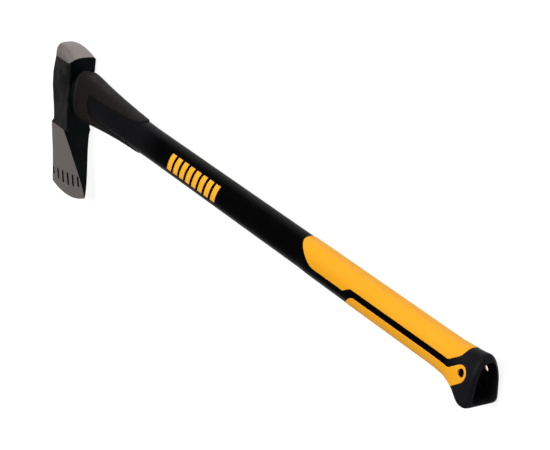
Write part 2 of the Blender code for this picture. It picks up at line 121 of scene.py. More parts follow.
# Edges of the yellow pieces and of the collar's window, from left to right: x, y
SADDLE_EDGE = (
    (592, 21), (592.8, 19), (597, 15), (603, 10), (610, 4.5), (617, -0.5), (625, -3), (686, -3),
    (692, 1), (698, 4.5), (873.5, 4.9), (881, 10.3), (886.5, 14), (889.6, 18), (890.4, 23),
)
BELLY_UPPER = (
    (686.5, -22), (688, -17), (696, -8), (704, -3.3), (876.5, -2.6), (884, 2.8), (890, 7.3),
    (895, 9.4), (900, 8.6), (903.6, 5.2), (905.1, 2), (905.4, 0),
)
BELLY_LOWER = (
    (883, -26), (886, -20), (894, -13.8), (901.5, -8.5), (904.6, -4.0), (905.4, 0),
)
WINDOW_UPPER = (
    (91.2, 1), (91.7, 6), (92.6, 11), (94.5, 15.2), (100, 17.2), (150, 17.8), (190, 18.6),
    (203, 19.8), (211, 21), (215.6, 22.1), (217, 24),
)
WINDOW_LOWER = (
    (91.2, 1), (91.7, -5), (92.6, -10.5), (94.5, -14.5), (100, -16.3), (150, -17.5), (190, -18),
    (203, -19.4), (211, -20.8), (215.6, -22.1), (217, -24),
)
WINDOW_MIDDLE = 1.0

# Head: y, outer x, inner x, half thickness, heel corner along x and along z
HEAD_BODY = (
    (41.5, 0.0, 43.0, 20.5, 3.5, 3.5),
    (30, -2.4, 43.0, 20.5, 4.0, 4.0),
    (16, -4.6, 43.0, 20.5, 4.2, 4.2),
    (0, -3.6, 43.2, 20.5, 4.4, 4.4),
    (-18, 0.0, 44.0, 20.2, 4.8, 4.6),
    (-34, 2.2, 45.2, 19.2, 5.4, 4.6),
    (-48, 2.4, 46.6, 18.0, 6.4, 4.4),
    (-51.5, 1.6, 47.2, 18.2, 7.5, 4.2),
    (-55, 0.0, 48.0, 19.6, 11.0, 4.1),
)
# Bit: share of the way to the edge, outer x, inner x, heel corner along x and along z
HEAD_BIT = (
    (0.00, 0.0, 48.0, 11.0, 4.1),
    (0.10, -2.6, 50.6, 7.4, 3.6),
    (0.25, -5.6, 54.8, 4.6, 2.8),
    (0.45, -8.6, 62.2, 2.8, 2.0),
    (0.65, -11.4, 69.4, 1.6, 1.0),
    (0.80, -13.6, 73.6, 0.8, 0.5),
    (0.92, -15.6, 76.0, 0.4, 0.2),
    (1.00, -16.5, 77.0, 0.2, 0.1),
)
BIT_TOP = -55.0
BIT_HALF = 19.2
BIT_HOLLOW = 0.25
TOE_CORNER = 3.0
SLOT_COUNT = 6
SLOT_FIRST = -10.0
SLOT_PITCH = 14.6
SLOT_WIDTH = 4.8
SLOT_DEPTH = 1.1
SLOT_LOW = (14.0, 0.8)
SLOT_HIGH = (-128.5, 2.5)
SLOT_STEPS = 24
SLOT_TOOL_TOP = 27.2


# ---------------------------------------------------------------- curves and sections

def slopes(xs, ys):
    """Slopes of a monotone cubic through the points."""
    steps = np.diff(ys) / np.diff(xs)
    found = np.zeros(len(xs))
    found[0] = steps[0]
    found[-1] = steps[-1]
    for i in range(1, len(xs) - 1):
        if steps[i - 1] * steps[i] > 0:
            found[i] = 2 * steps[i - 1] * steps[i] / (steps[i - 1] + steps[i])
    return found


class Rows:
    """Table of design rows, read anywhere between them by monotone cubics."""

    def __init__(self, rows):
        table = np.array(rows, dtype=float)
        if table[0, 0] > table[-1, 0]:
            table = table[::-1]
        self.xs = table[:, 0]
        self.values = table[:, 1:]
        self.slopes = np.stack([slopes(self.xs, column) for column in self.values.T], axis=1)

    def at(self, x):
        x = min(max(x, self.xs[0]), self.xs[-1])
        i = min(max(int(np.searchsorted(self.xs, x)) - 1, 0), len(self.xs) - 2)
        width = self.xs[i + 1] - self.xs[i]
        t = (x - self.xs[i]) / width
        return ((2 * t ** 3 - 3 * t ** 2 + 1) * self.values[i]
                + (t ** 3 - 2 * t ** 2 + t) * width * self.slopes[i]
                + (3 * t ** 2 - 2 * t ** 3) * self.values[i + 1]
                + (t ** 3 - t ** 2) * width * self.slopes[i + 1])


COLLAR = Rows(COLLAR_SKIN)
BOSS = Rows(BOSS_SKIN)
GRIP = Rows(GRIP_SKIN)
CAVITY = Rows(CAVITY_SKIN)
BODY = Rows(HEAD_BODY)
BIT = Rows(HEAD_BIT)
ANGLES = np.linspace(math.pi / 2, -math.pi / 2, 361)
SQUARENESS = 0.85                # of the plain ovals: 1 is an ellipse, less is squarer
NORMAL_REACH = 0.6               # half the stretch over which a section's normal is measured
TINY = 1e-6


class Section:
    """The +Z half of a squared oval, from its top to its bottom, read by arc length."""

    def __init__(self, row):
        top, bottom, half, egg, upper, lower = row
        sine = np.sin(ANGLES)
        cosine = np.abs(np.cos(ANGLES))
        cosine[0] = 0.0
        cosine[-1] = 0.0
        power = np.where(sine > 0, upper, lower)
        taper = np.where(sine > 0, egg, egg * BELLY_EGG)
        rise = np.sign(sine) * np.abs(sine) ** power
        self.y = (top + bottom) / 2 + (top - bottom) / 2 * rise
        self.z = half * (1 - taper * rise) * cosine ** power
        steps = np.hypot(np.diff(self.y), np.diff(self.z))
        self.s = np.concatenate([[0.0], np.cumsum(steps)])
        self.total = self.s[-1]

    def arc_at(self, y):
        return float(np.interp(-y, -self.y, self.s))

    def points(self, arcs, lift=0.0):
        """Y and Z at arc lengths, lifted along the section's own normal."""
        arcs = np.asarray(arcs, dtype=float)
        y = np.interp(arcs, self.s, self.y)
        z = np.interp(arcs, self.s, self.z)
        ahead = np.minimum(arcs + NORMAL_REACH, self.total)
        behind = np.maximum(arcs - NORMAL_REACH, 0.0)
        dy = np.interp(ahead, self.s, self.y) - np.interp(behind, self.s, self.y)
        dz = np.interp(ahead, self.s, self.z) - np.interp(behind, self.s, self.z)
        at_end = (arcs < NORMAL_REACH * 0.01) | (arcs > self.total - NORMAL_REACH * 0.01)
        dy = np.where(at_end, 0.0, dy)
        length = np.maximum(np.hypot(dy, dz), 1e-9)
        return y + dz / length * lift, z - dy / length * lift


def section_ring(row, x, count):
    """Closed ring of 2 * count points round a section, evenly spaced along it."""
    section = Section(row)
    y, z = section.points(np.linspace(0, section.total, count + 1))
    near = [(x, a, b) for a, b in zip(y, z)]
    near[0] = (x, y[0], 0.0)
    near[-1] = (x, y[-1], 0.0)
    return near + [(x, a, -b) for _, a, b in reversed(near[1:-1])]


def oval_ring(x, half, count, inset=0.0):
    """Closed ring of a plain squared oval, half = (along Y, along Z)."""
    tall = half[0] - inset
    return section_ring((tall, -tall, half[1] - inset, 0.0, SQUARENESS, SQUARENESS), x, count)


def rounded(points, radius):
    """Open polyline with each corner replaced by a small parabola."""
    points = [Vector(p) for p in points]
    curve = [points[0]]
    for before, here, after in zip(points[:-2], points[1:-1], points[2:]):
        back = before - here
        ahead = after - here
        start = here + back.normalized() * min(radius, back.length * 0.45)
        end = here + ahead.normalized() * min(radius, ahead.length * 0.45)
        for i in range(7):
            t = i / 6
            curve.append(start.lerp(here, t).lerp(here.lerp(end, t), t))
    curve.append(points[-1])
    return np.array([(p.x, p.y) for p in curve])


def spaced(start, end, features, fine, coarse, growth=0.16):
    """Stations from start to end, close together at each feature."""
    stations = [start]
    while stations[-1] < end:
        here = stations[-1]
        distance = min(abs(here - f) for f in features)
        stations.append(here + min(coarse, fine + growth * distance))
    scale = (end - start) / (stations[-1] - start)
    return [start + (x - start) * scale for x in stations]


# ---------------------------------------------------------------- meshes

SHARP = 35                       # degrees between faces above which an edge is shaded sharp
HEAD_SHARP = 32
COLLAR_SHARP = 50
BUTT_SHARP = 50
YELLOW_SHARP = 60


def finish_mesh(name, vertices, faces, angle=SHARP):
    """Object from points in handle millimetres, its faces turned out and shaded smooth."""
    mesh = bpy.data.meshes.new(name)
    mesh.from_pydata([Vector(v) * MM for v in vertices], [], faces)
    bm = bmesh.new()
    bm.from_mesh(mesh)
    bmesh.ops.remove_doubles(bm, verts=bm.verts, dist=1e-7)
    bmesh.ops.recalc_face_normals(bm, faces=bm.faces)
    bm.to_mesh(mesh)
    bm.free()
    mesh.shade_smooth()
    mesh.set_sharp_from_angle(angle=math.radians(angle))
    item = bpy.data.objects.new(name, mesh)
    item.location = ORIGIN
    bpy.context.scene.collection.objects.link(item)
    return item


def strip_cap(base, count):
    """Quads between the two halves of a ring whose first and middle points lie on the mid plane."""
    half = count // 2
    faces = [(base, base + 1, base + count - 1)]
    for i in range(1, half - 1):
        faces.append((base + i, base + i + 1, base + count - i - 1, base + count - i))
    faces.append((base + half - 1, base + half, base + half + 1))
    return faces


def between(a, b, count):
    """Quads between the ring that starts at vertex a and the one that starts at b."""
    turns = [(j, (j + 1) % count) for j in range(count)]
    return [(a + j, a + k, b + k, b + j) for j, k in turns]


def band_faces(rings, count):
    """Quads between each ring and the next."""
    return [face for i in range(rings - 1) for face in between(i * count, (i + 1) * count, count)]


def loft(name, rings, angle=SHARP):
    """Closed solid through rings of equal size, capped at both ends."""
    count = len(rings[0])
    vertices = [point for ring in rings for point in ring]
    faces = strip_cap(0, count) + strip_cap((len(rings) - 1) * count, count)
    faces += band_faces(len(rings), count)
    return finish_mesh(name, vertices, faces, angle)


class Sheet:
    """Closed sheet gathered from grids of matching front and back points.

    Where grids meet they share points, and the sheet is closed round its open sides.
    """

    def __init__(self):
        self.index = {}
        self.front = []
        self.back = []
        self.faces = []

    def corner(self, front, back):
        key = tuple(round(float(c), 3) + 0.0 for c in front)
        if key not in self.index:
            self.index[key] = len(self.front)
            self.front.append(front)
            self.back.append(back)
        return self.index[key]

    def add(self, front, back, flip):
        rows = [[self.corner(f, b) for f, b in zip(frow, brow)] for frow, brow in zip(front, back)]
        for low, high in zip(rows[:-1], rows[1:]):
            for i in range(len(low) - 1):
                face = [low[i], low[i + 1], high[i + 1], high[i]]
                face = [v for n, v in enumerate(face) if v != face[n - 1]]
                if len(set(face)) < 3:
                    continue
                self.faces.append(face[::-1] if flip else face)

    def build(self, name, angle):
        count = len(self.front)
        sides = dict.fromkeys(side for face in self.faces for side in zip(face, face[1:] + face[:1]))
        faces = list(self.faces)
        faces += [[v + count for v in reversed(face)] for face in self.faces]
        faces += [[b, a, a + count, b + count] for a, b in sides if (b, a) not in sides]
        return finish_mesh(name, self.front + self.back, faces, angle)


def distance_to_rims(points, rims):
    """Shortest distance from each point to a set of polylines, in the unrolled skin."""
    best = np.full(len(points), 1e9)
    for rim in rims:
        a = rim[:-1]
        d = rim[1:] - a
        length = np.maximum((d ** 2).sum(axis=1), 1e-12)
        for start in range(0, len(points), 2000):
            chunk = points[start:start + 2000]
            rel = chunk[:, None, :] - a[None]
            t = np.clip((rel * d[None]).sum(axis=2) / length, 0, 1)
            gap = rel - t[..., None] * d[None]
            found = np.sqrt((gap ** 2).sum(axis=2)).min(axis=1)
            best[start:start + 2000] = np.minimum(best[start:start + 2000], found)
    return best


def edge_drop(distance, radius):
    """How far a rounded edge has fallen at a distance inside its rim."""
    inside = radius - np.minimum(distance, radius)
    return radius - np.sqrt(np.maximum(radius ** 2 - inside ** 2, 0.0))


def side_arcs(sections, edge, middle, end_share):
    """Arc lengths of one side of a patch: along its edge curve, or the handle's top or bottom."""
    found = []
    for x, section in sections.items():
        if edge is not None and x >= edge[0, 0] - TINY:
            found.append(section.arc_at(float(np.interp(x, edge[:, 0], edge[:, 1]))))
        elif edge is not None and middle is not None:
            found.append(section.arc_at(middle))
        else:
            found.append(section.total * end_share)
    return np.array(found)


def add_patch(sheet, rows, stations, upper, lower, across, radius, proud, back, middle=None):
    """Add both mirrored halves of a moulded skin between two side edges.

    upper and lower are edge curves, or None for the top and the bottom of the handle. Where a
    curve hasn't begun yet, the patch runs on to middle, a y at which another patch carries on,
    or without one to the top or the bottom.
    """
    sections = {x: Section(rows.at(x)) for x in stations}
    first = side_arcs(sections, upper, middle, 0.0)
    last = side_arcs(sections, lower, middle, 1.0)
    shares = (1 - np.cos(np.linspace(0, math.pi, across + 1))) / 2
    grid = first[:, None] + (last - first)[:, None] * shares[None]
    xs = np.array(stations)
    flat = np.stack([np.repeat(xs, across + 1), grid.ravel()], axis=1)
    rims = []
    for edge, side in ((upper, first), (lower, last)):
        if edge is not None:
            kept = xs >= edge[0, 0] - TINY
            rims.append(np.stack([xs[kept], side[kept]], axis=1))
    for i in (0, -1):
        rims.append(np.array([(xs[i], first[i]), (xs[i], last[i])]))
    drop = edge_drop(distance_to_rims(flat, rims), radius).reshape(grid.shape)
    front = []
    behind = []
    for i, x in enumerate(stations):
        y, z = sections[x].points(grid[i], proud - drop[i])
        front.append([(x, a, b) for a, b in zip(y, z)])
        y, z = back(x, sections[x], grid[i])
        behind.append([(x, a, b) for a, b in zip(y, z)])
    sheet.add(front, behind, False)
    mirror = [[(x, y, -z) for x, y, z in row] for row in front]
    mirror_behind = [[(x, y, -z) for x, y, z in row] for row in behind]
    sheet.add(mirror, mirror_behind, True)


def carve(item, tool, operation="DIFFERENCE"):
    """Apply an exact Boolean, and delete the tool."""
    modifier = item.modifiers.new("carve", "BOOLEAN")
    modifier.operation = operation
    modifier.solver = "EXACT"
    modifier.object = tool
    graph = bpy.context.evaluated_depsgraph_get()
    mesh = bpy.data.meshes.new_from_object(item.evaluated_get(graph))
    item.modifiers.clear()
    item.data = mesh
    mesh.name = item.name
    bpy.data.objects.remove(tool)


# ---------------------------------------------------------------- head

CHEEK_STEPS = 66                 # faces across a cheek, round a corner and across half an end
CORNER_STEPS = 9
FACE_STEPS = 14
BODY_RINGS = 120
BIT_RINGS = 105
RIM_SHARES = (0.33, 0.67, 1.0)   # rings between the body and the rim of the poll
CROWN_SCALES = (0.988, 0.975, 0.96, 0.945, 0.925, 0.9, 0.87, 0.84, 0.8, 0.75, 0.69, 0.62, 0.54,
                0.45, 0.35, 0.24, 0.12)
CORNER_BULGE = 0.75              # roundness of the inner corner, and of the outer one
TOE_BULGE = 0.8
FORGING = 0.22                   # unevenness of the forged, painted faces
FORGED_SWELLS = 0.055            # swells and dints in a millimetre
FORGED_DINTS = 0.16
FORGED_ENDS = 1.5                # how much rougher the outer and inner faces are
FORGED_CORNER = 4.5              # depth of the corner in which the cheek's unevenness fades
HEEL_WAVE = 3.0                  # waviness of the forged inner corner
HEEL_LEAST = 2.0                 # smallest length of that corner along x
PANEL = (8.0, 30.0, -26.0, 34.0)     # shallow pressed panel in each cheek: x and y limits
PANEL_DEPTH = 0.9
PANEL_EDGE = 2.2
RIBS = (14.0, 24.0)                  # plain upright ribs standing in the panel
RIB_HALF = 3.1
RIB_REACH = (-19.0, 27.0)
RIB_FADE = 2.0                   # half the length over which a rib rises at its ends
RIB_HEIGHT = 0.85                # as a share of the panel's depth


def edge_y(x):
    """Height of the cutting edge at x: a circular arc through toe and heel."""
    chord = EDGE_HEEL - EDGE_TOE
    middle = (EDGE_HEEL + EDGE_TOE) / 2
    outward = Vector((chord.y, -chord.x)).normalized()
    radius = chord.length ** 2 / (8 * EDGE_SAGITTA) + EDGE_SAGITTA / 2
    centre = middle - outward * (radius - EDGE_SAGITTA)
    return centre.y - math.sqrt(radius ** 2 - (x - centre.x) ** 2)


def bit_half(share):
    """Half thickness of the slightly hollow bit, a share of the way to its edge."""
    return BIT_HALF * (1 - share) * (1 - BIT_HOLLOW * share) + EDGE_HALF


def poll_height(x, z):
    """Ground top of the poll: a crown whose square shoulder crosses over from end to end."""
    share = min(1.0, max(0.0, x / HEAD_WIDTH))
    rise = POLL_APEX - (x - POLL_PEAK) ** 2 / POLL_FALL - POLL_BASE
    outer, inner = POLL_FULLNESS[0] if z > 0 else POLL_FULLNESS[1]
    fullness = outer + (inner - outer) * share ** 0.7
    reach = max(0.0, 1 - min(1.0, abs(z) / CHEEK) ** fullness)
    return POLL_BASE + rise * reach ** POLL_TURN


def smooth_step(value, low, high):
    """0 below low, 1 above high, and an even ease between them."""
    t = min(1.0, max(0.0, (value - low) / (high - low)))
    return t * t * (3 - 2 * t)


def panel_depth(x, y):
    """Depth of the pressed panel and its ribs below the cheek."""
    x_low, x_high, y_low, y_high = PANEL
    depth = PANEL_DEPTH
    for inside in (x - x_low, x_high - x, y - y_low, y_high - y):
        depth *= smooth_step(inside, 0.0, PANEL_EDGE)
    ends = smooth_step(y, RIB_REACH[0] - RIB_FADE, RIB_REACH[0] + RIB_FADE)
    ends *= 1 - smooth_step(y, RIB_REACH[1] - RIB_FADE, RIB_REACH[1] + RIB_FADE)
    nearest = min(abs(x - centre) for centre in RIBS)
    rib = ends * (1 - smooth_step(nearest, RIB_HALF * 0.35, RIB_HALF))
    return depth * (1 - RIB_HEIGHT * rib)


def corner_points(start, tip, end, bulge):
    """Points round a corner: a flat chamfer at bulge 0, fully round at 1."""
    middle = (start + end) / 2
    control = middle + (tip - middle) * bulge
    shares = [i / CORNER_STEPS for i in range(1, CORNER_STEPS)]
    return [(start.lerp(control, t)).lerp(control.lerp(end, t), t) for t in shares]


def head_outline(outer, inner, half, heel_x, heel_z, bulge):
    """X and Z round the +Z half of a head section, from the outer face to the inner face."""
    toe_x = min(heel_x, TOE_CORNER)
    toe_z = min(heel_z, TOE_CORNER, half * 0.4)
    heel_z = min(heel_z, half * 0.8)
    toe_low = Vector((outer, half - toe_z))
    toe_high = Vector((outer + toe_x, half))
    heel_high = Vector((inner - heel_x, half))
    heel_low = Vector((inner, half - heel_z))
    points = [Vector((outer, (half - toe_z) * i / FACE_STEPS)) for i in range(FACE_STEPS)]
    points.append(toe_low)
    points += corner_points(toe_low, Vector((outer, half)), toe_high, TOE_BULGE)
    points += [toe_high.lerp(heel_high, i / CHEEK_STEPS) for i in range(CHEEK_STEPS + 1)]
    points += corner_points(heel_high, Vector((inner, half)), heel_low, bulge)
    points.append(heel_low)
    points += [Vector((inner, (half - heel_z) * i / FACE_STEPS))
               for i in range(FACE_STEPS - 1, -1, -1)]
    return points


def forged(x, y, z, amount):
    """Unevenness left by forging: broad swells with smaller dints on them."""
    place = Vector((x, y, z))
    dints = noise.noise(place * FORGED_DINTS + Vector((9, 3, 5)))
    return (noise.noise(place * FORGED_SWELLS) + 0.45 * dints) * amount


def head_ring(outline, heights, amount, relief):
    """Closed ring round the head from a half outline, uneven where it is left as forged."""
    near = []
    far = []
    top = max(p.y for p in outline)
    for p, y in zip(outline, heights):
        flat = smooth_step(p.y, top - FORGED_CORNER, top)
        dent = panel_depth(p.x, y) * relief if p.y > top - 0.001 else 0.0
        end = 1 if p.x > HEAD_WIDTH / 2 else -1
        for side, row in ((1, near), (-1, far)):
            push = forged(p.x, y, side * p.y, amount)
            x = p.x + push * FORGED_ENDS * (1 - flat) * end
            row.append((x, y, side * (p.y + push * flat - dent)))
    return near + far[-2:0:-1]


def body_columns(y):
    """Row of the body at y, with the waviness of its forged inner corner."""
    outer, inner, half, heel_x, heel_z = BODY.at(y)
    ripple = noise.noise(Vector((1, y * 0.21, 7)))
    wave = noise.noise(Vector((4, y * 0.085, 1))) + 0.5 * ripple
    heel_x = max(HEEL_LEAST, heel_x + HEEL_WAVE * wave * smooth_step(y, -50, -40))
    return outer, inner, half, heel_x, heel_z


def head_rings():
    """Rings of the head from the edge to the rim of the poll, then those of its crown."""
    rings = []
    top = HEAD_BODY[0][0]
    for i in range(BIT_RINGS, 0, -1):
        share = i / BIT_RINGS
        outer, inner, heel_x, heel_z = BIT.at(share)
        bulge = CORNER_BULGE - 0.6 * smooth_step(share, 0.0, 0.08)
        outline = head_outline(outer, inner, bit_half(share), heel_x, heel_z, bulge)
        heights = [BIT_TOP + share * (edge_y(p.x) - BIT_TOP) for p in outline]
        rings.append(head_ring(outline, heights, 0.0, 0.0))
    for i in range(BODY_RINGS + 1):
        y = BIT_TOP + (top - BIT_TOP) * i / BODY_RINGS
        amount = FORGING * smooth_step(y, BIT_TOP, BIT_TOP + 8) * smooth_step(-y, -top, -36)
        outline = head_outline(*body_columns(y), CORNER_BULGE)
        rings.append(head_ring(outline, [y] * len(outline), amount, 1.0))
    rim = rings[-1]
    for share in RIM_SHARES:
        rings.append([(x, y + (poll_height(x, z) - y) * share, z) for x, y, z in rim])
    centre = (HEAD_BODY[0][1] + HEAD_BODY[0][2]) / 2
    crown = []
    for scale in CROWN_SCALES:
        ring = [(centre + (x - centre) * scale, z * scale) for x, y, z in rim]
        crown.append([(x, poll_height(x, z), z) for x, z in ring])
    return rings, crown


def slot_tools():
    """Twelve round-ended tools whose floors follow the sloping cheeks."""
    vertices = []
    faces = []
    radius = SLOT_WIDTH / 2
    for number in range(SLOT_COUNT):
        x = SLOT_FIRST + number * SLOT_PITCH
        low = edge_y(x) + SLOT_LOW[0] + SLOT_LOW[1] * number
        high = SLOT_HIGH[0] + SLOT_HIGH[1] * number
        outline = []
        for centre, start in ((high - radius, 0), (low + radius, 1)):
            for i in range(SLOT_STEPS + 1):
                turn = math.pi * (start + i / SLOT_STEPS)
                outline.append((x + radius * math.cos(turn), centre + radius * math.sin(turn)))
        count = len(outline)
        for side in (1, -1):
            base = len(vertices)
            for px, py in outline:
                share = (BIT_TOP - py) / (BIT_TOP - edge_y(px))
                vertices.append((px, py, side * (bit_half(share) - SLOT_DEPTH)))
            for px, py in outline:
                vertices.append((px, py, side * SLOT_TOOL_TOP))
            faces.append(list(range(base, base + count)))
            faces.append(list(range(base + count, base + 2 * count))[::-1])
            for i in range(count):
                j = (i + 1) % count
                faces.append([base + i, base + j, base + count + j, base + count + i])
    return finish_mesh("slot_tools", vertices, faces)


def surface_kind(place, normal, crown_faces):
    """How a face of the head is coloured: 1 ground, up to 0.5 cheek paint lightened as painted
    highlight, 0 other paint.
    """
    x, y, z = place
    if y > BIT_TOP:
        _, _, distance = crown_faces.find(place)
        if distance < 0.01:
            return 1.0
        # Painted highlight: the more a face looks up along Z, towards the light, the lighter its
        # paint.
        return 0.5 * smooth_step(abs(normal.z), 0.5, 0.9) if x < HEAD_WIDTH - 1 else 0.0
    share = min(1.0, (BIT_TOP - y) / (BIT_TOP - edge_y(x)))
    outer, inner, heel_x, _ = BIT.at(share)
    on_cheek = outer + min(heel_x, TOE_CORNER) < x < inner - heel_x
    sunk = abs(z) < bit_half(share) - SLOT_DEPTH * 0.4
    return 1.0 if on_cheek and not sunk and abs(normal.z) > 0.7 else 0.0


def mark_finish_and_light(item, crown):
    """Store on each face of the head whether it is ground steel, black paint or cheek paint with
    painted highlight, for its material.
    """
    centres = []
    for low, high in zip(crown[:-1], crown[1:]):
        for j in range(len(low)):
            k = (j + 1) % len(low)
            corners = (low[j], low[k], high[k], high[j])
            centres.append(sum((Vector(corner) for corner in corners), Vector()) / 4)
    tree = kdtree.KDTree(len(centres))
    for i, centre in enumerate(centres):
        tree.insert(centre, i)
    tree.balance()
    values = []
    for face in item.data.polygons:
        place = sum((item.data.vertices[v].co for v in face.vertices), Vector())
        place = place / len(face.vertices) / MM
        level = len(face.vertices) == 3 or face.normal.y > 0.9
        on_top = level and place.y > POLL_BASE + 1
        values.append(1.0 if on_top else surface_kind(place, face.normal, tree))
    layer = item.data.attributes.new("finish_and_light", "FLOAT", "FACE")
    layer.data.foreach_set("value", values)


# x and inset of the rings of the lug round the eye, and of the eye's flared mouth
LUG_PROFILE = ((LUG_ROOT, 0), (LUG_END - 1.0, 0), (LUG_END - 0.3, 0.3), (LUG_END, 1.0))
MOUTH_PROFILE = ((-20, -2.0), (-4.4, -1.2), (-2.6, 0), (EYE_DEPTH, 0))
OVAL_POINTS = 48


def build_head():
    rings, crown = head_rings()
    head = loft("maul_head", rings + crown)
    lug = [oval_ring(x, LUG_HALF, OVAL_POINTS, inset) for x, inset in LUG_PROFILE]
    carve(head, loft("lug_tool", lug), "UNION")
    mouth = [oval_ring(x, EYE_HALF, OVAL_POINTS, inset) for x, inset in MOUTH_PROFILE]
    carve(head, loft("mouth_tool", mouth))
    carve(head, slot_tools())
    mark_finish_and_light(head, rings[-1:] + crown)
    head.data.shade_smooth()
    head.data.set_sharp_from_angle(angle=math.radians(HEAD_SHARP))
    return head


# ---------------------------------------------------------------- fittings at the eye

PLUG_FOOT = 1.5                  # height of the plug above the floor of the eye's mouth
PLUG_ROUND = 1.2
PLUG_DISH = 0.8                  # depth of the dished middle, and the insets where it falls
PLUG_DISH_INSETS = (3.0, 3.8, 6.0)
SEAL_BORE = (15.5, 11.2)
SEAL_BULGE = 1.3
SMOOTH_POINTS = 64


def build_eye_plug():
    """Plug with a rounded rim and a slightly dished face."""
    half = tuple(h - GAP for h in EYE_HALF)
    face = -PLUG_PROUD
    profile = [(EYE_DEPTH - PLUG_FOOT, 0.0)]
    for i in range(9):
        turn = math.pi / 2 * i / 8
        profile.append((face + PLUG_ROUND * (1 - math.sin(turn)), PLUG_ROUND * (1 - math.cos(turn))))
    rim, slope, middle = PLUG_DISH_INSETS
    profile += [(face, rim), (face + PLUG_DISH - 0.1, slope), (face + PLUG_DISH, middle)]
    return loft("eye_plug_cap", [oval_ring(x, half, SMOOTH_POINTS, inset) for x, inset in profile])


def build_seal():
    """Rubber bead between the head and the collar: a closed tube with a rounded outside."""
    start = LUG_END + GAP
    middle = (start + SEAL_END) / 2
    reach = (SEAL_END - start) / 2
    rings = []
    for i in range(25):
        turn = -math.pi / 2 + math.pi * i / 24
        bead = SEAL_BULGE * (1 - math.cos(turn))
        rings.append(oval_ring(middle + reach * math.sin(turn), SEAL_HALF, SMOOTH_POINTS, bead))
    rings += [oval_ring(x, SEAL_BORE, SMOOTH_POINTS) for x in (SEAL_END, start)]
    vertices = [p for ring in rings for p in ring]
    faces = band_faces(len(rings), len(rings[0]))
    faces += between((len(rings) - 1) * len(rings[0]), 0, len(rings[0]))
    return finish_mesh("eye_seal_bead", vertices, faces)


# ---------------------------------------------------------------- handle mouldings

RING_POINTS = 72
CORNER_RADIUS = 2.2              # rounding of the corners in the side outlines
YELLOW_PROUD = 0.35              # how far the yellow stands out of the black
YELLOW_DEPTH = 1.6
YELLOW_ROUND = 0.75              # rounding of the edges of the yellow pieces and the collar
COLLAR_ROUND = 0.8
YELLOW_STEPS = 44                # faces across a yellow piece, and across the collar
COLLAR_STEPS = 36


def build_jacket():
    end = KNOB_START - GAP
    stations = [COLLAR_START + 0.1 * i for i in range(3)]
    stations += spaced(57, end, (57, end, 600, 700), 1.2, 5.0)
    rings = []
    for x in stations:
        rows = BOSS if x < GRIP_START else GRIP
        rings.append(section_ring(rows.at(x), x, RING_POINTS))
    return loft("jacket_skin", rings)


def yellow_back(x, section, arcs):
    """Inside of a yellow piece, an even depth below the skin."""
    return section.points(arcs, -YELLOW_DEPTH)


def build_saddle():
    sheet = Sheet()
    stations = spaced(SADDLE_EDGE[0][0], SADDLE_EDGE[-1][0], (592, 689, 695, 880, 890), 0.12, 2.6)
    lower = rounded(SADDLE_EDGE, CORNER_RADIUS)
    add_patch(sheet, GRIP, stations, None, lower, YELLOW_STEPS, YELLOW_ROUND, YELLOW_PROUD,
              yellow_back)
    return sheet.build("saddle_pad", YELLOW_SHARP)


def build_belly():
    sheet = Sheet()
    stations = spaced(BELLY_UPPER[0][0], BELLY_UPPER[-1][0], (686.5, 700, 880, 885, 905.4), 0.1,
                      2.4)
    upper = rounded(BELLY_UPPER, CORNER_RADIUS)
    lower = rounded(BELLY_LOWER, CORNER_RADIUS)
    add_patch(sheet, GRIP, stations, upper, lower, YELLOW_STEPS, YELLOW_ROUND, YELLOW_PROUD,
              yellow_back)
    return sheet.build("belly_pad", YELLOW_SHARP)


def boss_back(x, section, arcs):
    """Inside of the collar: the boss under it, a gap away."""
    boss = Section(BOSS.at(x))
    return boss.points(np.asarray(arcs) / section.total * boss.total, GAP)


def build_collar():
    sheet = Sheet()
    stations = spaced(COLLAR_START, COLLAR_END, (56.5, 91.2, 93, 217), 0.15, 2.2)
    stations = sorted(stations + [WINDOW_UPPER[0][0]])
    upper = rounded(WINDOW_UPPER, CORNER_RADIUS)
    lower = rounded(WINDOW_LOWER, CORNER_RADIUS)
    add_patch(sheet, COLLAR, stations, None, upper, COLLAR_STEPS, COLLAR_ROUND, 0.0, boss_back,
              WINDOW_MIDDLE)
    add_patch(sheet, COLLAR, stations, lower, None, COLLAR_STEPS, COLLAR_ROUND, 0.0, boss_back,
              WINDOW_MIDDLE)
    return sheet.build("collar_shell", COLLAR_SHARP)


RIDGE_X = 911.8                  # crisp ridge between the sides of the butt and its end face
RIDGE_ROUND = 1.6
CROWN_X = 918.5
FACE_BREAK = 0.25                # how sharply the end face breaks from the side at the ridge
FACE_POWER = 2.3                 # and how it then curves in to the crown
RIM_SHARE = 0.93                 # where the rounding into the hollow begins
RIM_ROUND = 2.6                  # depth of that rounding, and how far it bulges out
RIM_LIFT = 0.3
# Scale of each ring of the floor inside the butt, and its height above the floor
FLOOR_STEPS = ((0.995, 1.6), (0.975, 0.8), (0.94, 0.3), (0.88, 0.0), (0.7, 0.0), (0.45, 0.0),
               (0.2, 0.0))
LIP = 0.15                       # how far the yellow lip stands into the lanyard hole
# z and flare of the lanyard hole from outside to inside
LANYARD_FLARE = ((-30, 1.6), (-20.6, 1.6), (-20.0, 0.9), (-19.3, 0.25), (-18.4, 0.0))


